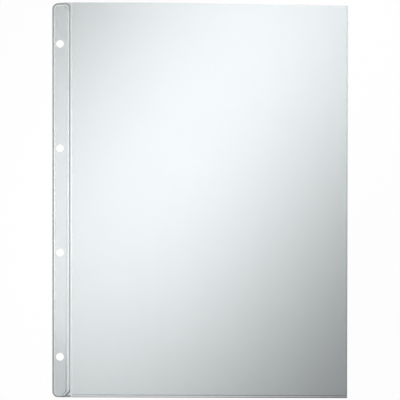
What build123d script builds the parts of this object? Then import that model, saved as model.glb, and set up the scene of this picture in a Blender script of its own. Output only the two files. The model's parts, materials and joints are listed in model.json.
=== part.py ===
"""Clear top-loading sheet protector with a reinforced binding strip, lying flat on its back film.

Millimetres, +Z up. X runs across the page from the binding strip to the side seam, Y runs up the page
to the open mouth, and Z runs through the films. The origin is on the table under the middle of the page.
"""

import os

from build123d import *

# The sheet of paper that the pocket takes, and the room round it
SHEET_WIDTH = 210.0
SHEET_HEIGHT = 297.0
SHEET_PLAY = 1.0
MOUTH_STAND = 3.5

# Film, the stiff core of the strip, and the welded seams
FILM = 0.13
CORE_THICKNESS = 0.24
WELD = 1.2
SIDE_SEAM = 1.5
BOTTOM_SEAM = 1.9

# Binding strip
STRIP_WIDTH = 14.0
CORNER_RADIUS = 4.6
CORE_PLAY = 0.4
CORE_END_PLAY = 0.4
FREE_WEB = 1.6
CORE_ROUNDING = 0.45

# Ring holes, in a row along the free edge: as many as the core has room for
HOLE_SETBACK = 5.95
HOLE_RADIUS = 3.0
HOLE_PITCH = 80.0
HOLE_END_ROOM = 20.0

# Room for the pocket to fold against the strip
CREASE_CLEARANCE = 0.12

# Sizes that follow from those above
STACK = 2 * FILM + CORE_THICKNESS
CREASE = STACK / 2 + CREASE_CLEARANCE
WIDTH = STRIP_WIDTH + SHEET_WIDTH + SHEET_PLAY + SIDE_SEAM
HEIGHT = BOTTOM_SEAM + SHEET_HEIGHT + MOUTH_STAND
POCKET_WIDTH = WIDTH - STRIP_WIDTH - CREASE
FRONT_WIDTH = POCKET_WIDTH - CREASE
CORE_WIDTH = STRIP_WIDTH - 2 * WELD - CORE_PLAY - FREE_WEB
CORE_HEIGHT = HEIGHT - 2 * (WELD + CORE_END_PLAY)
CORE_RADIUS = CORE_ROUNDING * CORE_WIDTH
HOLE_COUNT = 1 + int((CORE_HEIGHT - 2 * HOLE_END_ROOM) / HOLE_PITCH)

# Places across the page
LEFT = -WIDTH / 2
HOLE_LINE = LEFT + HOLE_SETBACK
STRIP_MIDDLE = LEFT + STRIP_WIDTH / 2
CORE_MIDDLE = LEFT + WELD + CORE_PLAY + CORE_WIDTH / 2
CREASE_LINE = LEFT + STRIP_WIDTH + CREASE
POCKET_MIDDLE = CREASE_LINE + POCKET_WIDTH / 2
RIGHT = WIDTH / 2
FRONT_MIDDLE = RIGHT - FRONT_WIDTH / 2

# Heights through the films
BACK_TOP = FILM
FRONT_BOTTOM = FILM + CORE_THICKNESS


def slab(outline, bottom, thickness):
    """A flat piece cut to an outline, with its lower face at a given height."""
    return extrude(Pos(0, 0, bottom) * outline, amount=thickness)


def ring_holes():
    """The row of ring holes as one outline to cut with."""
    holes = GridLocations(0, HOLE_PITCH, 1, HOLE_COUNT) * Circle(HOLE_RADIUS)
    return Pos(HOLE_LINE, 0) * Sketch(holes)


def strip_outline():
    """The strip's films: rounded at the free edge, square where the pocket's films carry on."""
    plain = Pos(STRIP_MIDDLE, 0) * Rectangle(STRIP_WIDTH, HEIGHT)
    free_corners = plain.vertices().group_by(Axis.X)[0]
    return fillet(free_corners, CORNER_RADIUS) - ring_holes()


def core_outline():
    """The stiff core, which stops short of the seams on every side."""
    core = RectangleRounded(CORE_WIDTH, CORE_HEIGHT, CORE_RADIUS)
    return Pos(CORE_MIDDLE, 0) * core - ring_holes()


def seam_loop():
    """The seam that runs right round the core, with four rounded corners."""
    outer = RectangleRounded(STRIP_WIDTH, HEIGHT, CORNER_RADIUS)
    inner = RectangleRounded(STRIP_WIDTH - 2 * WELD, HEIGHT - 2 * WELD, CORNER_RADIUS - WELD)
    return Pos(STRIP_MIDDLE, 0) * (outer - inner)


def spine_outline():
    """The straight stretch of that loop beside the pocket."""
    spine = Rectangle(WELD, HEIGHT - 2 * CORNER_RADIUS)
    return Pos(LEFT + STRIP_WIDTH - WELD / 2, 0) * spine


def back_outline():
    """The pocket's back film, from the crease to the free side."""
    return Pos(POCKET_MIDDLE, 0) * Rectangle(POCKET_WIDTH, HEIGHT)


def front_outline():
    """The front film, set back from the crease so that it clears the strip when page and mouth both open."""
    return Pos(FRONT_MIDDLE, 0) * Rectangle(FRONT_WIDTH, HEIGHT)


def bottom_seam_outline():
    """The seam along the foot of the pocket, whole width."""
    seam = Rectangle(POCKET_WIDTH, BOTTOM_SEAM)
    return Pos(POCKET_MIDDLE, -HEIGHT / 2 + BOTTOM_SEAM / 2) * seam


def side_seam_outline():
    """The seam up the free side, from the bottom seam to the mouth."""
    length = HEIGHT - BOTTOM_SEAM
    return Pos(RIGHT - SIDE_SEAM / 2, BOTTOM_SEAM / 2) * Rectangle(SIDE_SEAM, length)


def all_pieces():
    """Every piece by name, each in its place."""
    return {
        "strip_back_ply": slab(strip_outline(), 0, FILM),
        "strip_core": slab(core_outline(), BACK_TOP, CORE_THICKNESS),
        "strip_front_ply": slab(strip_outline(), FRONT_BOTTOM, FILM),
        "edge_weld": slab(seam_loop() - spine_outline(), BACK_TOP, CORE_THICKNESS),
        "spine_weld": slab(spine_outline(), BACK_TOP, CORE_THICKNESS),
        "back_film": slab(back_outline(), 0, FILM),
        "bottom_weld": slab(bottom_seam_outline(), BACK_TOP, CORE_THICKNESS),
        "side_weld": slab(side_seam_outline(), BACK_TOP, CORE_THICKNESS),
        "front_film": slab(front_outline(), FRONT_BOTTOM, FILM),
    }


os.makedirs("parts", exist_ok=True)
for name, piece in all_pieces().items():
    export_step(piece, f"parts/{name}.step")
    print(name, "volume", round(piece.volume, 1))
print("overall", WIDTH, HEIGHT, STACK)
print("crease line x", CREASE_LINE, "hole line x", HOLE_LINE)
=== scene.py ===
# %% [markdown]
# # A clear sheet protector, dressed for its portrait
#
# A sheet protector is two clear films welded together round three sides, hung on a stiff punched strip. The
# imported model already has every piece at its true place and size, as plain flat slabs. This lesson gives
# the pieces their finish: pressed seams, films that lie a little slack, a crease that folds, and a plastic
# that shows the table.

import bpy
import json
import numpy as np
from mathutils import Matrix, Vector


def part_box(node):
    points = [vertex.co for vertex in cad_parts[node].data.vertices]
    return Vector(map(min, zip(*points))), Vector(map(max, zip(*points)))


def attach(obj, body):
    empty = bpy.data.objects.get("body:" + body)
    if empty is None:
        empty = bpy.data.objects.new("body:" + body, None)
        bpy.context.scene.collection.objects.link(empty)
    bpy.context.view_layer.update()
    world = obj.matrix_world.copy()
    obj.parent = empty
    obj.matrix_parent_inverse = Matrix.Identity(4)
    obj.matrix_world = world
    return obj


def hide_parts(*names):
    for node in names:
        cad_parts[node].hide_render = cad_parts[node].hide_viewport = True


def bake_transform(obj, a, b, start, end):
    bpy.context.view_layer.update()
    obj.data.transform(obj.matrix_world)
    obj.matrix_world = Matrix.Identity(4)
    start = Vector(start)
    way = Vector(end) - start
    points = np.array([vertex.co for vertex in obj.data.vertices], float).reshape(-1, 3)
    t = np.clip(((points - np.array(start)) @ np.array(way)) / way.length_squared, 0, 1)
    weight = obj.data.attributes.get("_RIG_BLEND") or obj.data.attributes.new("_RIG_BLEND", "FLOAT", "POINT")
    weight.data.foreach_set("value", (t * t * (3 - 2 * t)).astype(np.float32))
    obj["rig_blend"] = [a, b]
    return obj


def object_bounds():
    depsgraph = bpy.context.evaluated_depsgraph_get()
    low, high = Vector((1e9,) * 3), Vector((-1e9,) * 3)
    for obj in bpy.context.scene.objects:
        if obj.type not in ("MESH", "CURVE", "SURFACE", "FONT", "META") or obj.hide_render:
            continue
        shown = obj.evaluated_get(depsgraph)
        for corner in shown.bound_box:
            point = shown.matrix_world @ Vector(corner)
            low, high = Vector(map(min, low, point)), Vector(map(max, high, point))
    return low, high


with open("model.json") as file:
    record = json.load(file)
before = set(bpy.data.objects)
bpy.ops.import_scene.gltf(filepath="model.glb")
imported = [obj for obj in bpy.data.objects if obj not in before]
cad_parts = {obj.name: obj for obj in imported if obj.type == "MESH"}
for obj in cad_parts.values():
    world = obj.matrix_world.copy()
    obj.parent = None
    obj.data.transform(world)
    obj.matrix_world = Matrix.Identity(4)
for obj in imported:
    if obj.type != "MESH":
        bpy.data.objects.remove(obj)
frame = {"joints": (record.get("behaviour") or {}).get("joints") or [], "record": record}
cad_low, cad_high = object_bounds()
print("packed model from", tuple(cad_low), "to", tuple(cad_high))

# %% [markdown]
# ## Where things are
#
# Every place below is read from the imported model, so that the new pieces land where the old ones are.
# Lengths are in metres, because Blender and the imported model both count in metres. `MM` keeps small sizes
# easy to read.

# %% Read the places that the new pieces share
import json
import math

import bmesh
import bpy
from mathutils import Matrix, Vector, noise

MM = 0.001

strip_low, strip_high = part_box("strip_front_ply")
back_low, back_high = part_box("back_film")
core_low, core_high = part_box("strip_core")
swing = next(joint for joint in frame["joints"] if joint["name"] == "page_swing")
ring_holes = [mount for mount in frame["record"]["mounts"] if mount["kind"] == "bore"]

LEFT = strip_low.x
SPINE = strip_high.x
RIGHT = back_high.x
FOOT = back_low.y
MOUTH = back_high.y
CREASE = swing["pos_m"][0]
MIDDLE = swing["pos_m"][2]
TOP = strip_high.z
print("strip", LEFT, "to", SPINE, "with", len(ring_holes), "ring holes")
print("crease at", CREASE, "and pocket to", RIGHT)

# %% [markdown]
# ## Finishes as Python sums
#
# A material in Blender is a graph of nodes. Long graphs are hard to read as code, so two small classes
# help. `Wire` wraps a socket that gives a number: writing `1 - wire` or `wire * 0.5` adds the Math node for
# that sum. `Finish` holds one material, and its `add` method makes any other node from its type, its
# settings and its inputs.

# %% Two classes for node graphs
class Wire:
    """A number that comes out of a node. Arithmetic on it adds Math nodes to the same graph."""

    def __init__(self, tree, socket):
        self.tree = tree
        self.socket = socket

    def math(self, operation, first, second):
        node = self.tree.nodes.new("ShaderNodeMath")
        node.operation = operation
        for slot, value in zip(node.inputs, (first, second)):
            connect(self.tree, value, slot)
        return Wire(self.tree, node.outputs[0])

    def __add__(self, other):
        return self.math("ADD", self, other)

    def __sub__(self, other):
        return self.math("SUBTRACT", self, other)

    def __rsub__(self, other):
        return self.math("SUBTRACT", other, self)

    def __mul__(self, other):
        return self.math("MULTIPLY", self, other)

    def __gt__(self, other):
        return self.math("GREATER_THAN", self, other)

    def larger(self, other):
        return self.math("MAXIMUM", self, other)

    __radd__ = __add__
    __rmul__ = __mul__


def connect(tree, value, slot):
    """Links a wire to a node's input, or writes a plain value there."""
    if isinstance(value, Wire):
        tree.links.new(value.socket, slot)
    else:
        slot.default_value = value


class Finish:
    """One material's graph, or the world's, with a method that adds a node."""

    def __init__(self, owner):
        owner.use_nodes = True
        self.owner = owner
        self.tree = owner.node_tree
        self.tree.nodes.clear()

    def add(self, kind, settings=None, inputs=None, output=0):
        """Adds a node, writes its settings, and then fills or links its inputs."""
        node = self.tree.nodes.new(kind)
        for name, value in (settings or {}).items():
            setattr(node, name, value)
        for name, value in (inputs or {}).items():
            connect(self.tree, value, node.inputs[name])
        return Wire(self.tree, node.outputs[output])

    def show(self, shader, ending="ShaderNodeOutputMaterial"):
        """Links a shader to the graph's end, and gives back the material or world it belongs to."""
        node = self.tree.nodes.new(ending)
        self.tree.links.new(shader.socket, node.inputs["Surface"])
        return self.owner

# %% [markdown]
# ## Clear film
#
# Rolled plastic film isn't quite even. It has faint lines along the way it was drawn, a fine grain that
# takes the edge off its gloss, and a cool grey cast that deepens where films lie on one another. A glass
# shader could show that, but it needs many samples and darkens thin film. Here each face just lets most of
# the light by, which is what a low Alpha says. The cast then adds up by itself, because a ray through the
# pocket crosses four faces.
#
# One function makes every film. The stiff core gets a grey that thickens towards the foot: painted shade,
# where the lamp lights the strip less. Its cut edges are darker, partly their own look and partly painted
# shade. The pressed slopes beside the seams are painted near white, a painted highlight for the lamp's light
# they send back, and a higher refraction gives them more sheen. Some of this changes from the head of the
# page to its foot, so `along_page` works out a factor from the distance to a chosen place up the page.

# %% Make the film finishes
# Towards the foot: the core's painted shade thickens, the cut edge's dark finish deepens, and the slopes'
# painted highlight fades.
CORE_FOOT_SHADE = {"middle": MOUTH, "span": (240 * MM, 280 * MM), "change": (0.1, 1.0)}
HIGHLIGHT_FADE = {"middle": MOUTH, "span": (200 * MM, 280 * MM), "change": (1.0, 0.5)}
CUT_SHADE_RISE = {"middle": MOUTH, "span": (255 * MM, 290 * MM), "change": (1.0, 3.2)}
PLASTIC = 1.54
GRAIN_SCALE = 900.0
LINE_SCALE = (420.0, 6.0, 1.0)
CLOUD_SCALE = 14.0
UNEVEN = 0.1
RELIEF_DEPTH = 0.2 * MM


def along_page(finish, place, middle, span, change):
    """A factor that changes smoothly with the distance from a chosen middle, up and down the page."""
    away = finish.add("ShaderNodeSeparateXYZ", inputs={0: place}, output="Y") - middle
    return finish.add("ShaderNodeMapRange", {"interpolation_type": "SMOOTHSTEP"}, {
        "Value": away.larger(0 - away),
        "From Min": span[0],
        "From Max": span[1],
        "To Min": change[0],
        "To Max": change[1],
    })


def film_finish(name, colour, alpha, roughness=0.40, refraction=PLASTIC, along=None):
    """Clear film: cool, faintly lined, with a fine grain. In other colours it also makes painted shade and
    painted highlights.
    """
    finish = Finish(bpy.data.materials.new(name))
    place = finish.add("ShaderNodeTexCoord", output="Object")
    grain = finish.add("ShaderNodeTexNoise", inputs={"Vector": place, "Scale": GRAIN_SCALE, "Detail": 2.0})
    stretched = finish.add("ShaderNodeMapping", inputs={"Vector": place, "Scale": LINE_SCALE})
    lines = finish.add("ShaderNodeTexNoise", inputs={"Vector": stretched, "Scale": 1.0, "Detail": 3.0})
    clouds = finish.add("ShaderNodeTexNoise", inputs={"Vector": place, "Scale": CLOUD_SCALE, "Detail": 2.0})
    relief = grain + lines
    bump = finish.add("ShaderNodeBump", inputs={"Strength": 0.08, "Distance": RELIEF_DEPTH, "Height": relief})
    haze = alpha * (1 - UNEVEN + UNEVEN * lines + UNEVEN * clouds)
    if along:
        haze = haze * along_page(finish, place, **along)
    film = finish.add("ShaderNodeBsdfPrincipled", inputs={
        "Base Color": colour,
        "Alpha": haze,
        "Roughness": roughness + 0.12 * grain,
        "IOR": refraction,
        "Normal": bump,
    })
    print("finish", name)
    return finish.show(film)


clear_film = film_finish("clear_film", (0.76, 0.84, 0.86, 1.0), 0.10)
# The core's grey is painted shade, nearly clear in the middle and thickest towards the foot.
stiff_film = film_finish("stiff_film", (0.45, 0.50, 0.52, 1.0), 0.09, along=CORE_FOOT_SHADE)
bead_film = film_finish("bead_film", (0.76, 0.84, 0.88, 1.0), 0.06)
# Dark cut edge by the spine and its ends: partly the edge's own look, partly painted shade.
cut_edge_and_shade = film_finish("cut_edge_and_shade", (0.42, 0.48, 0.50, 1.0), 0.095, along=CUT_SHADE_RISE)
cut_end_and_shade = film_finish("cut_end_and_shade", (0.30, 0.34, 0.36, 1.0), 0.42)
# Near-white slopes: a painted highlight, with a real sheen from the higher refraction.
slope_sheen_and_highlight = film_finish("slope_sheen_and_highlight", (0.98, 0.985, 0.985, 1.0), 0.85, 0.50, refraction=2.1, along=HIGHLIGHT_FADE)

# %% [markdown]
# ## Welded film
#
# Heat and pressure fuse the films along a seam. The fused plastic scatters light, so the seam reads as a
# darker line. It is made darker still a little below the middle of the free edge and half way up the spine,
# where the lamp's sheen falls on it: painted shade that cancels the sheen. It is darkest at the corners by
# the spine, where the bar meets the pocket's films as well. Separate dark faces would end in hard lines
# there. So one finish serves the whole seam, and a factor from the distance to the corner makes it darker
# bit by bit. A painted line would look flat, so the seam keeps small flow marks and its own roughness.
#
# Along the foot and the free side the bar's ribs stay in the front film: a dull mark, a glossy line and a
# dark edge. The glossy line is painted near white as well: a painted highlight. These are film finishes too,
# only less clear.

# %% Make the seam finishes
# Painted shade: the edge and spine seams are made denser where the lamp's sheen falls on them.
EDGE_SHEEN_SHADE = {"middle": -60 * MM, "span": (40 * MM, 200 * MM), "change": (1.0, 0.45)}
SPINE_SHEEN_SHADE = {"middle": 0.0, "span": (40 * MM, 180 * MM), "change": (1.0, 0.39)}
CORNER_PRESS = {"middle": FOOT, "span": (100 * MM, 200 * MM), "change": (1.0, 0.27)}
CORNER_PLACE = (SPINE - 2.6 * MM, MOUTH - 1.4 * MM)
CORNER_REACH = (2.0 * MM, 6.0 * MM)
CORNER_ALPHA = 0.85
FUSED_GREY = 0.25
CORNER_GREY = 0.07
GREEN_CAST = 1.08
BLUE_CAST = 1.12
FLOW_SCALE = 700.0
FLOW_MARKS = 0.12
BAR_GREY = (0.30, 0.33, 0.34, 1.0)


def near_corner(finish, place):
    """A factor of 1 at the seam's corners by the spine, and 0 a few millimetres away from them."""
    across = finish.add("ShaderNodeSeparateXYZ", inputs={0: place}, output="X") - CORNER_PLACE[0]
    up = finish.add("ShaderNodeSeparateXYZ", inputs={0: place}, output="Y")
    towards_end = up.larger(0 - up) - CORNER_PLACE[1]
    return finish.add("ShaderNodeMapRange", {"interpolation_type": "SMOOTHSTEP"}, {
        "Value": across * across + towards_end * towards_end,
        "From Min": CORNER_REACH[0] ** 2,
        "From Max": CORNER_REACH[1] ** 2,
        "To Min": 1.0,
        "To Max": 0.0,
    })


def seam_finish(name, alpha, along):
    """Fused film: darker than the film beside it, most of all at its corners, with painted shade where the
    lamp's sheen falls, and small flow marks.
    """
    finish = Finish(bpy.data.materials.new(name))
    place = finish.add("ShaderNodeTexCoord", output="Object")
    flow = finish.add("ShaderNodeTexNoise", inputs={"Vector": place, "Scale": FLOW_SCALE, "Detail": 3.0})
    bump = finish.add("ShaderNodeBump", inputs={"Strength": 0.10, "Distance": RELIEF_DEPTH, "Height": flow})
    corner = near_corner(finish, place)
    grey = FUSED_GREY - (FUSED_GREY - CORNER_GREY) * corner
    cool_grey = finish.add("ShaderNodeCombineColor", inputs={
        "Red": grey,
        "Green": GREEN_CAST * grey,
        "Blue": BLUE_CAST * grey,
    })
    # Denser where the lamp's sheen falls on the seam: painted shade.
    plain = alpha * along_page(finish, place, **along)
    hard_pressed = CORNER_ALPHA * along_page(finish, place, **CORNER_PRESS)
    weld = finish.add("ShaderNodeBsdfPrincipled", inputs={
        "Base Color": cool_grey,
        "Alpha": (plain + (hard_pressed - plain) * corner) * (1 - FLOW_MARKS / 2 + FLOW_MARKS * flow),
        "Roughness": 0.4 + 0.2 * flow,
        "IOR": PLASTIC,
        "Normal": bump,
    })
    print("finish", name)
    return finish.show(weld)


welded_film = seam_finish("welded_film", 0.44, EDGE_SHEEN_SHADE)
spine_film = seam_finish("spine_film", 0.40, SPINE_SHEEN_SHADE)
bar_mark = film_finish("bar_mark", BAR_GREY, 0.20)
# The glossy line is painted near white: a painted highlight, with real gloss from its low roughness.
bar_gloss_and_highlight = film_finish("bar_gloss_and_highlight", (0.97, 0.98, 0.98, 1.0), 0.80, 0.30, refraction=2.3)
bar_edge = film_finish("bar_edge", BAR_GREY, 0.34)

# %% [markdown]
# ## Helpers for drawing film
#
# Each piece is drawn in a `bmesh`, Blender's editable mesh, and turned into an object once it is finished.
# Points and faces could be listed by hand, but operators are shorter and go wrong less often. So every film
# starts as a flat rectangle from the grid operator. Bevelling a corner point rounds it, or cuts it straight
# off if the bevel has a single step. Extruding the finished upper face downwards gives the film its
# thickness. A back piece is the front one mirrored in the middle of the films. Mirroring turns faces inside
# out, so their normals are worked out again.

# %% Draw flat and rounded faces
ROUND_STEPS = 12


def flat_face(bm, x_span, y_span, z):
    """A flat rectangle at a height. Gives back its four corner points."""
    middle = Matrix.Translation((sum(x_span) / 2, sum(y_span) / 2, z))
    size = Matrix.Diagonal((x_span[1] - x_span[0], y_span[1] - y_span[0], 1, 1))
    return bmesh.ops.create_grid(bm, x_segments=1, y_segments=1, size=0.5, matrix=middle @ size)["verts"]


def bevel_corners(bm, corners, offset, steps):
    """Rounds corner points in a number of steps. One step cuts them straight off."""
    bmesh.ops.bevel(bm, geom=corners, offset=offset, offset_type="OFFSET", affect="VERTICES",
                    segments=steps, profile=0.5, material=-1)


def rounded_face(bm, x_span, y_span, z, radius, steps=ROUND_STEPS):
    """A flat face with four rounded corners."""
    before = set(bm.faces)
    bevel_corners(bm, flat_face(bm, x_span, y_span, z), radius, steps)
    return next(face for face in bm.faces if face not in before)


def strip_face(bm, x_span, y_span, z, radius, *spine_cuts):
    """A flat face with rounded free corners. Those by the spine, foot first, are cut off or stay square."""
    before = set(bm.faces)
    corners = sorted(flat_face(bm, x_span, y_span, z), key=lambda point: (point.co.x, point.co.y))
    bevel_corners(bm, corners[:2], radius, ROUND_STEPS)
    for corner, offset in zip(corners[2:], spine_cuts):
        bevel_corners(bm, [corner], offset, 1)
    return next(face for face in bm.faces if face not in before)

# %% Cut, thicken, mirror and finish a drawing
SAME_LINE = 0.01 * MM
CRISP = math.radians(35)


def cut(bm, place, direction):
    """Cuts all faces of a drawing along a plane. A line that is already there isn't cut twice."""
    geometry = bm.verts[:] + bm.edges[:] + bm.faces[:]
    bmesh.ops.bisect_plane(bm, geom=geometry, plane_co=place, plane_no=direction, dist=SAME_LINE)


def thicken(bm, thickness):
    """Gives a drawn upper face its thickness downwards, and turns every face outwards."""
    made = bmesh.ops.extrude_face_region(bm, geom=bm.faces[:])
    lower = [item for item in made["geom"] if isinstance(item, bmesh.types.BMVert)]
    bmesh.ops.translate(bm, verts=lower, vec=(0, 0, -thickness))
    bmesh.ops.recalc_face_normals(bm, faces=bm.faces[:])


def turn_over(bm):
    """Mirrors a drawing in the middle of the films, so that a front piece becomes the back one."""
    bmesh.ops.scale(bm, verts=bm.verts[:], vec=(1, 1, -1), space=Matrix.Translation((0, 0, -MIDDLE)))
    bmesh.ops.recalc_face_normals(bm, faces=bm.faces[:])


def finish_piece(bm, name, *finishes):
    """Turns a drawing into an object with crisp edges. A face's material index picks its finish."""
    mesh = bpy.data.meshes.new(name)
    bm.to_mesh(mesh)
    bm.free()
    mesh.shade_smooth()
    mesh.set_sharp_from_angle(angle=CRISP)
    for finish in finishes:
        mesh.materials.append(finish)
    piece = bpy.data.objects.new(name, mesh)
    bpy.context.scene.collection.objects.link(piece)
    print(name, "has", len(mesh.vertices), "vertices")
    return piece

# %% [markdown]
# ## The strip's two plies
#
# The ply over the core is flat, with a pressed rim where it is welded to the ply behind. Drawing such a rim
# point by point is slow. Insetting a rounded face does it in two steps: the first inset makes the pressed
# band, the second makes the slope up to the flat middle. The ring holes are then filled round, and the film
# beside the rim's cut corners is filled in out to the strip's square ones. Last, the head is raised a little
# towards the spine, because strip and pocket were trimmed together and not quite square.

# %% Draw a ply
CORNER = 4.6 * MM
FLASH = 0.20 * MM
SPINE_FLASH = 0.10 * MM
SEAM = 1.2 * MM
SLOPE = 0.75 * MM
DIP = 0.06 * MM
PLY = 0.11 * MM
RIM_X = (LEFT + FLASH, SPINE - SPINE_FLASH)
RIM_Y = (FOOT + FLASH, MOUTH - FLASH)
RIM_CORNER = CORNER - FLASH
FOOT_CUT = 4.1 * MM
HEAD_CUT = 2.6 * MM
MOUTH_STAND = 0.5 * MM
RISE_REACH = 12 * MM
HOLE_STEPS = 48


def smooth_step(value):
    """Eases a value from 0 to 1."""
    value = min(max(value, 0.0), 1.0)
    return value * value * (3 - 2 * value)


def raise_head(bm):
    """Lets the strip's head rise from its free corner to the spine, where the pocket's mouth carries on."""
    for point in bm.verts:
        across = max((point.co.x - LEFT - CORNER) / (SPINE - LEFT - CORNER), 0.0)
        near_head = smooth_step((point.co.y - MOUTH + RISE_REACH) / RISE_REACH)
        point.co.y += MOUTH_STAND * across * near_head


def fill_between(bm, edges):
    """Fills flat film between nested outlines."""
    bmesh.ops.triangle_fill(bm, use_beauty=True, edges=edges, normal=(0, 0, 1))


def draw_holes(bm, z):
    """Round outlines for the ring holes at a height."""
    edges = []
    for hole in ring_holes:
        x, y, _ = hole["pos_m"]
        ring = bmesh.ops.create_circle(bm, segments=HOLE_STEPS, radius=hole["dims"]["r_mm"] * MM,
                                       matrix=Matrix.Translation((x, y, z)))
        edges += {edge for point in ring["verts"] for edge in point.link_edges}
    return edges


def draw_ply(bm):
    """The upper face of a ply inside its seam: pressed rim, slope, and flat middle with holes."""
    rim = strip_face(bm, RIM_X, RIM_Y, TOP - DIP, RIM_CORNER, FOOT_CUT, HEAD_CUT)
    bmesh.ops.inset_region(bm, faces=[rim], thickness=SEAM, use_boundary=True, use_even_offset=True)
    slope = bmesh.ops.inset_region(bm, faces=[rim], thickness=SLOPE, depth=DIP, use_boundary=True,
                                   use_even_offset=True)
    # The slope takes the near-white finish: a painted highlight.
    for face in slope["faces"]:
        face.material_index = 1
    middle_edges = rim.edges[:]
    bmesh.ops.delete(bm, geom=[rim], context="FACES_ONLY")
    fill_between(bm, middle_edges + draw_holes(bm, TOP))

# %% Make both plies
def make_ply(name, node, turned):
    """One ply, out to the strip's own outline."""
    bm = bmesh.new()
    draw_ply(bm)
    rim_edges = [edge for edge in bm.edges
                 if edge.is_boundary and max(point.co.z for point in edge.verts) < TOP - DIP / 2]
    outline = strip_face(bm, (LEFT, SPINE), (FOOT, MOUTH), TOP - DIP, CORNER)
    outer_edges = outline.edges[:]
    bmesh.ops.delete(bm, geom=[outline], context="FACES_ONLY")
    fill_between(bm, outer_edges + rim_edges)
    raise_head(bm)
    thicken(bm, PLY)
    if turned:
        turn_over(bm)
    ply = finish_piece(bm, name, clear_film, slope_sheen_and_highlight)
    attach(ply, "binding_strip")
    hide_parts(node)


make_ply("front_ply", "strip_front_ply", turned=False)
make_ply("back_ply", "strip_back_ply", turned=True)

# %% [markdown]
# ## The stiff core
#
# A thicker strip of film lies between the plies and keeps the rings from tearing out. Its cut edge traps
# light, so it shows as a faint dark outline. A line could be painted there by a mask, but an inset gives
# the outline a narrow ring of faces that can have a finish of its own. Only the side by the spine gets the
# dark finish, deeper towards the foot and deepest at the ends there: partly the edge's own look, partly
# painted shade, as the lamp's sheen hides the edge on the other side. The strip was slit a little out of
# true: its edge by the spine leans outwards at the head, and the dark cut edge on that side grows wider at
# the foot. So the points on that side are moved across, by an amount that depends on how far up the page
# they are.

# %% Draw the core's outline and its cut edge
CUT_EDGE = 0.35 * MM
CORE_ROUNDING = 0.45
CORE_ROUND = CORE_ROUNDING * (core_high.x - core_low.x)
CORE_AIR = 0.030 * MM
CORE_LEAN = 0.65 * MM
DARK_BAND_GROWTH = 0.9 * MM
DARK_BAND_CURVE = 6
CORE_MIDDLE = (core_low.x + core_high.x) / 2
CORE_TOP = core_high.z - CORE_AIR
CORE_THICK = core_high.z - core_low.z - 2 * CORE_AIR

core_drawing = bmesh.new()
core_face = rounded_face(core_drawing, (core_low.x, core_high.x), (core_low.y, core_high.y), CORE_TOP,
                         CORE_ROUND)
cut_ring = bmesh.ops.inset_region(core_drawing, faces=[core_face], thickness=CUT_EDGE, use_boundary=True,
                                  use_even_offset=True)
for point in core_drawing.verts:
    up = point.co.y / core_high.y
    if point.co.x > CORE_MIDDLE:
        point.co.x += CORE_LEAN * max(up, 0.0)
# The dark cut edge by the spine grows wider towards the foot.
for point in core_face.verts:
    up = point.co.y / core_high.y
    if point.co.x > CORE_MIDDLE:
        point.co.x -= DARK_BAND_GROWTH * max(-up, 0.0) ** DARK_BAND_CURVE
raise_head(core_drawing)
# Only the cut edge by the spine gets the dark finish, its ends the darkest: partly its own look, partly painted
# shade.
for face in cut_ring["faces"]:
    centre = face.calc_center_median()
    by_spine = centre.x > CORE_MIDDLE
    by_end = abs(centre.y) > core_high.y - CORE_ROUND
    face.material_index = int(by_spine) + int(by_spine and by_end)
print("core outline with", len(cut_ring["faces"]), "faces in its cut edge")

# %% Punch and thicken the core
core_edges = core_face.edges[:]
bmesh.ops.delete(core_drawing, geom=[core_face], context="FACES_ONLY")
fill_between(core_drawing, core_edges + draw_holes(core_drawing, CORE_TOP))
thicken(core_drawing, CORE_THICK)
core = finish_piece(core_drawing, "stiff_core", stiff_film, cut_edge_and_shade, cut_end_and_shade)
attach(core, "binding_strip")
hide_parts("strip_core")

# %% [markdown]
# ## The strip's seam
#
# The seam lies between the plies' pressed rims. One closed band gives both of its parts: the long straight
# side by the pocket is the spine seam, and the rest of the band is the edge seam. The spine seam is a
# little narrower than the band. A short stroke runs on from the foot's cut corner to the spine, where the
# bar for the pocket's foot started.

# %% Make the edge seam and the spine seam
BEAD_GAP = 0.012 * MM
BEAD_TOP = TOP - DIP - PLY - BEAD_GAP
BEAD_THICK = 2 * (BEAD_TOP - MIDDLE)
SPINE_NARROW = 0.78
SPINE_MIDDLE = RIM_X[1] - SEAM / 2
STROKE_X = (RIM_X[1] - FOOT_CUT + 0.05 * MM, RIM_X[1])
STROKE_Y = (RIM_Y[0] + 0.2 * MM, RIM_Y[0] + 1.3 * MM)


def draw_stroke(bm):
    """The short stroke by the foot. Its one end follows the band's cut corner, which runs at 45 degrees."""
    for point in flat_face(bm, STROKE_X, STROKE_Y, BEAD_TOP):
        if point.co.x < SPINE_MIDDLE:
            point.co.x += point.co.y - RIM_Y[0]


def make_strip_seam(name, node, finish, spine):
    """The band round the strip, cut down to its straight side by the spine or to all the rest."""
    bm = bmesh.new()
    band = strip_face(bm, RIM_X, RIM_Y, BEAD_TOP, RIM_CORNER, FOOT_CUT, HEAD_CUT)
    bmesh.ops.inset_region(bm, faces=[band], thickness=SEAM, use_boundary=True, use_even_offset=True)
    bmesh.ops.delete(bm, geom=[band], context="FACES")
    raise_head(bm)
    straight = max(bm.faces, key=lambda face: face.calc_center_median().x)
    unwanted = [face for face in bm.faces if (face is straight) != spine]
    bmesh.ops.delete(bm, geom=unwanted, context="FACES")
    if spine:
        about_its_middle = Matrix.Translation((-SPINE_MIDDLE, 0, 0))
        bmesh.ops.scale(bm, verts=bm.verts[:], vec=(SPINE_NARROW, 1, 1), space=about_its_middle)
    else:
        draw_stroke(bm)
    thicken(bm, BEAD_THICK)
    seam = finish_piece(bm, name, finish)
    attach(seam, "binding_strip")
    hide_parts(node)


make_strip_seam("edge_seam", "edge_weld", welded_film, spine=False)
make_strip_seam("spine_seam", "spine_weld", spine_film, spine=True)

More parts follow.
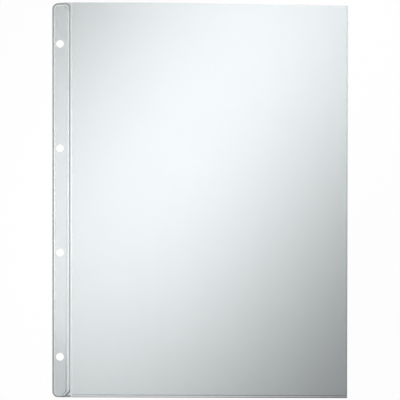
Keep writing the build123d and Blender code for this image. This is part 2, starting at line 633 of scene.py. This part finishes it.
# %% [markdown]
# ## How a pocket film lies
#
# A pocket film isn't a true rectangle lying flat. Its mouth carries on from the strip's raised head and runs
# down towards the free side, and its foot runs down a little too. Along the seams it is pressed towards the
# other film. The front film also lies slack over the back one, most of all at the open mouth. A cloth
# simulation could find such a shape, but three short sums give it at once, the same each time. Each takes a
# place on the flat film.

# %% Sums for the pocket's films
SIDE_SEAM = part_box("side_weld")[1].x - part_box("side_weld")[0].x
FOOT_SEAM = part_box("bottom_weld")[1].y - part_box("bottom_weld")[0].y
WEB_END = CREASE + 0.9 * MM
MOUTH_SLANT = 2.3 * MM
SLANT_START = 0.30
FOOT_SLANT = 0.25 * MM
SLACK = 0.8 * MM
SLACK_AT_FOOT = 0.35
SLACK_FULL = 0.625
RIPPLE = 0.08 * MM
RIPPLES_ACROSS = 11
RIPPLES_UP = 8


def askew(place):
    """How far down the page a place is drawn: mouth and foot run down a little towards the free side."""
    across = max((place.x - WEB_END) / (RIGHT - WEB_END), 0.0)
    up = (place.y - FOOT) / (MOUTH - FOOT)
    at_mouth = MOUTH_SLANT * max(across - SLANT_START, 0.0) / (1 - SLANT_START) - MOUTH_STAND
    return up * at_mouth + (1 - up) * FOOT_SLANT * across


def pressed(place):
    """How far a film is pressed towards the seam at a place: 1 on the seam, 0 on the open film."""
    side = smooth_step((place.x - (RIGHT - SIDE_SEAM - SLOPE)) / SLOPE)
    foot = smooth_step((FOOT + FOOT_SEAM + SLOPE - place.y) / SLOPE)
    return max(side, foot)


def slack(place):
    """How far the front film stands off the back film beyond the seam's own thickness."""
    across = (place.x - WEB_END) / (RIGHT - SIDE_SEAM - SLOPE - WEB_END)
    up = (place.y - FOOT - FOOT_SEAM - SLOPE) / (MOUTH - FOOT - FOOT_SEAM - SLOPE)
    if not (0 < across < 1 and up > 0):
        return 0.0
    hold = math.sin(math.pi * across) * smooth_step(up / SLACK_FULL)
    wave = noise.noise(Vector((place.x * RIPPLES_ACROSS, place.y * RIPPLES_UP, 0.0)))
    return hold * (SLACK * (SLACK_AT_FOOT + (1 - SLACK_AT_FOOT) * up) + RIPPLE * wave)


print("films from", WEB_END, "to", RIGHT, "with seams", SIDE_SEAM, "and", FOOT_SEAM, "wide")

# %% [markdown]
# ## The pocket's films
#
# A flat film needs points to bend at, so planes cut it into a lattice: a coarse one all over, and close
# lines along the seams, where the film is pressed down. The welding bar's marks are bands between such
# lines, so that each band has faces of its own. A band's place is its depth from the foot or from the free
# side.

# %% Draw a pocket film
PITCH = 4.5 * MM
SLOPE_PARTS = (0, 0.25, 0.5, 0.75, 1)
# The glossy band at the foot is painted near white: a painted highlight.
CLEAR, MARK, GLOSS_HIGHLIGHT, EDGE = range(4)
FOOT_MARKS = ((0.85 * MM, EDGE), (1.35 * MM, GLOSS_HIGHLIGHT), (FOOT_SEAM + SLOPE / 2, MARK))
SIDE_MARKS = ((0.45 * MM, CLEAR), (0.65 * MM, MARK))


def cut_lines(low, high, extra):
    """Places for cuts between two sides: an even lattice, and some extra lines."""
    count = round((high - low) / PITCH)
    even = [low + (high - low) * step / count for step in range(1, count)]
    return even + list(extra)


def bar_band(place):
    """Which finish the welding bar has left at a place, by its depth from the foot or from the side."""
    bands = [band for depth, band in FOOT_MARKS if place.y - FOOT < depth]
    bands += [band for depth, band in SIDE_MARKS if RIGHT - place.x < depth]
    return next(iter(bands), CLEAR)


def draw_film(bm, front):
    """A film's upper face: cut into a lattice, marked by the bar if it is the front one, and then bent."""
    flat_face(bm, (WEB_END, RIGHT), (FOOT, MOUTH), TOP if front else PLY)
    side_lines = [RIGHT - SIDE_SEAM - SLOPE * part for part in SLOPE_PARTS]
    foot_lines = [FOOT + FOOT_SEAM + SLOPE * part for part in SLOPE_PARTS]
    side_lines += [RIGHT - depth for depth, _ in SIDE_MARKS]
    foot_lines += [FOOT + depth for depth, _ in FOOT_MARKS]
    for x in cut_lines(WEB_END, RIGHT, side_lines):
        cut(bm, (x, 0, 0), (1, 0, 0))
    for y in cut_lines(FOOT, MOUTH, foot_lines):
        cut(bm, (0, y, 0), (0, 1, 0))
    for face in bm.faces:
        face.material_index = bar_band(face.calc_center_median()) if front else CLEAR
    for point in bm.verts:
        dip = DIP * pressed(point.co)
        point.co.z += slack(point.co) - dip if front else dip
        point.co.y -= askew(point.co)

# %% Make both pocket films
def make_film(name, node, front):
    """One film of the pocket, with its thickness."""
    bm = bmesh.new()
    draw_film(bm, front)
    thicken(bm, PLY)
    finishes = (clear_film, bar_mark, bar_gloss_and_highlight, bar_edge) if front else (clear_film,)
    film = finish_piece(bm, name, *finishes)
    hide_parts(node)
    return film


pocket_back = make_film("pocket_back", "back_film", front=False)
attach(pocket_back, "pocket")
pocket_front = make_film("pocket_front", "front_film", front=True)
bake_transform(pocket_front, "pocket", "pocket_front", start=(CREASE, FOOT, TOP), end=(CREASE, MOUTH, TOP))

# %% [markdown]
# ## Held at its sides
#
# When the mouth opens, the real front film bulges in the middle and stays welded at its sides. The blend
# above lifts the whole width alike, so each point's share is scaled down towards the sides.

# %% Hold the front film at its sides
shares = pocket_front.data.attributes["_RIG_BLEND"].data
for point, share in zip(pocket_front.data.vertices, shares):
    across = (point.co.x - WEB_END) / (RIGHT - SIDE_SEAM - WEB_END)
    share.value *= math.sin(math.pi * min(max(across, 0.0), 1.0))
print("largest share of the mouth's lift", max(share.value for share in shares))

# %% [markdown]
# ## The pocket's seams
#
# The foot seam and the side seam are flat beads of fused film between the pressed edges of the two films. A
# rounded and thickened face is enough for a bead. The welding bar's marks are in the front film, so the
# beads themselves stay nearly clear. The bead at the foot runs down with the films.

# %% Make the foot seam and the side seam
BEAD_ROUND = 0.3 * MM
BEAD_STEPS = 4
MOUTH_CORNER = MOUTH + MOUTH_STAND - MOUTH_SLANT


def make_pocket_seam(name, node, x_span, y_span, at_foot):
    """A flat bead between the two films."""
    bm = bmesh.new()
    rounded_face(bm, x_span, y_span, BEAD_TOP, BEAD_ROUND, BEAD_STEPS)
    if at_foot:
        for point in bm.verts:
            point.co.y -= askew(point.co)
    thicken(bm, BEAD_THICK)
    seam = finish_piece(bm, name, bead_film)
    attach(seam, "pocket")
    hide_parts(node)


make_pocket_seam("foot_seam", "bottom_weld", (WEB_END, RIGHT - FLASH),
                 (FOOT + FLASH, FOOT + FOOT_SEAM), at_foot=True)
make_pocket_seam("side_seam", "side_weld", (RIGHT - SIDE_SEAM, RIGHT - FLASH),
                 (FOOT + FOOT_SEAM + FLASH, MOUTH_CORNER - FLASH), at_foot=False)

# %% [markdown]
# ## The crease
#
# Between the spine seam and the pocket, both films run on in a narrow web, and the page folds there. A
# hinge of two rigid pieces would gape when the page is lifted. So the web is cut into strips along the fold
# and blended between the two bodies: each point follows the pocket by its share, and the web bends. Beside
# the spine seam it is pressed flat, and from there it slopes up to the pocket, with the painted highlight
# that the slopes have.

# %% Make the crease's two webs
WEB_STRIPS = 12
WEB_FLAT = 0.5 * MM


def make_web(name, turned):
    """The strip of film that folds, on the front or on the back."""
    bm = bmesh.new()
    flat_face(bm, (SPINE, WEB_END), (FOOT, MOUTH), TOP)
    for step in range(1, WEB_STRIPS):
        cut(bm, (SPINE + (WEB_END - SPINE) * step / WEB_STRIPS, 0, 0), (1, 0, 0))
    for face in bm.faces:
        # The rising part of the web takes the near-white finish: a painted highlight.
        face.material_index = int(face.calc_center_median().x > SPINE + WEB_FLAT)
    for point in bm.verts:
        risen = smooth_step((point.co.x - SPINE - WEB_FLAT) / (WEB_END - SPINE - WEB_FLAT))
        point.co.z -= DIP * (1 - risen)
        point.co.y -= askew(point.co)
    thicken(bm, PLY)
    if turned:
        turn_over(bm)
    web = finish_piece(bm, name, clear_film, slope_sheen_and_highlight)
    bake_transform(web, "binding_strip", "pocket", start=(SPINE, 0, MIDDLE), end=(2 * CREASE - SPINE, 0, MIDDLE))


make_web("front_crease_web", turned=False)
make_web("back_crease_web", turned=True)

# %% [markdown]
# ## The table
#
# The page lies on a plain white table. A camera ray that meets the table directly sees plain white, with a
# little of the lit surface kept so that shadows stay. A ray that has come through film lying on the table
# sees it as the lamp lights it, which is what gives a clear film its grey shades. A painted patch under the
# page would stay behind when the page is lifted. So an Ambient Occlusion node with a short reach tells
# where film lies: there, most of the sky just above the table is covered.

# %% Lay the table
FLOOR_DROP = 0.3 * MM
FLOOR_SIZE = 8.0
COVER_REACH = 5 * MM
COVER_RAYS = 8
OPEN_SKY = 0.9
HALF_SKY = 0.6
WHITE_SHARE = 0.97

table = Finish(bpy.data.materials.new("table"))


def seen_plainly(finish):
    """1 for a ray from the camera, from a mirror or through glass, and 0 for a ray that gathers light."""
    kinds = ("Is Camera Ray", "Is Glossy Ray", "Is Transmission Ray")
    direct, mirrored, refracted = (finish.add("ShaderNodeLightPath", output=kind) for kind in kinds)
    return direct.larger(mirrored).larger(refracted)


through = table.add("ShaderNodeLightPath", output="Transparent Depth") > 0.5
sky_share = table.add("ShaderNodeAmbientOcclusion", {"samples": COVER_RAYS},
                      {"Distance": COVER_REACH}, output="AO")
covered = table.add("ShaderNodeMapRange", {"interpolation_type": "SMOOTHSTEP"}, {
    "Value": sky_share,
    "From Min": OPEN_SKY,
    "From Max": HALF_SKY,
})
white = table.add("ShaderNodeEmission", inputs={"Color": (1, 1, 1, 1), "Strength": 1.0})
lit = table.add("ShaderNodeBsdfDiffuse", inputs={"Color": (0.93, 0.93, 0.93, 1)})
plain = WHITE_SHARE * seen_plainly(table) * (1 - through * covered)
table.show(table.add("ShaderNodeMixShader", inputs={0: plain, 1: lit, 2: white}))

floor_drawing = bmesh.new()
floor_place = Matrix.Translation((0, 0, cad_low.z - FLOOR_DROP))
bmesh.ops.create_grid(floor_drawing, x_segments=2, y_segments=2, size=FLOOR_SIZE / 2, matrix=floor_place)
floor = finish_piece(floor_drawing, "table", table.owner)

# %% [markdown]
# ## Light
#
# A long softbox hangs over the page, turned across it, with a grid that narrows its beam. That leaves the
# far corners of the page darker than the band under the lamp, which tells the eye that the clear film is
# there. An even, faint fill comes from the world, which a camera ray sees as plain white.

# %% Hang the softbox and set the fill
LAMP_PLACE = (0.0, 0.072, 0.70)
LAMP_LENGTH = 0.54
LAMP_WIDTH = 0.168
LAMP_TURN = math.radians(55.2)
LAMP_SPREAD = math.radians(39.3)
LAMP_POWER = 0.44
FILL = 0.2

lamp_data = bpy.data.lights.new("softbox", "AREA")
lamp_data.shape = "RECTANGLE"
lamp_data.size = LAMP_LENGTH
lamp_data.size_y = LAMP_WIDTH
lamp_data.spread = LAMP_SPREAD
lamp_data.energy = LAMP_POWER
lamp = bpy.data.objects.new("softbox", lamp_data)
lamp.location = LAMP_PLACE
lamp.rotation_euler = (0, 0, LAMP_TURN)
lamp.visible_camera = False
bpy.context.scene.collection.objects.link(lamp)

bpy.context.scene.world = bpy.data.worlds.new("studio")
sky = Finish(bpy.context.scene.world)
brightness = FILL + (1 - FILL) * seen_plainly(sky)
sky_light = sky.add("ShaderNodeBackground", inputs={"Color": (1, 1, 1, 1), "Strength": brightness})
sky.show(sky_light, "ShaderNodeOutputWorld")
print("softbox at", LAMP_PLACE, "with", LAMP_POWER, "watts")

# %% [markdown]
# ## The camera
#
# The camera looks almost straight down, a little askew, from a metre away. A ray through the strip crosses
# six faces of film, and one that meets a lifted page as well soon crosses more than eight. Cycles stops there
# and shows black, so that limit is raised.

# %% Place the camera
CAMERA_AWAY = 1.0
CAMERA_TILT = math.radians(-0.64)
CAMERA_SWING = math.radians(0.09)
CAMERA_ROLL = math.radians(0.08)
CAMERA_AIM = Vector((0.09 * MM, 0.55 * MM, 0.0))
CAMERA_LENS = 117.35
FACES_SEEN_THROUGH = 24

camera_data = bpy.data.cameras.new("camera")
camera_data.sensor_width = 36.0
camera_data.lens = CAMERA_LENS
camera = bpy.data.objects.new("camera", camera_data)
turn = Matrix.Rotation(CAMERA_SWING, 4, "Y") @ Matrix.Rotation(CAMERA_TILT, 4, "X")
turn = turn @ Matrix.Rotation(CAMERA_ROLL, 4, "Z")
camera.matrix_world = Matrix.Translation(CAMERA_AIM) @ turn @ Matrix.Translation((0, 0, CAMERA_AWAY))
bpy.context.scene.collection.objects.link(camera)
bpy.context.scene.camera = camera
bpy.context.scene.view_settings.view_transform = "Standard"
bpy.context.scene.cycles.transparent_max_bounces = FACES_SEEN_THROUGH
print("camera at", tuple(camera.matrix_world.translation))
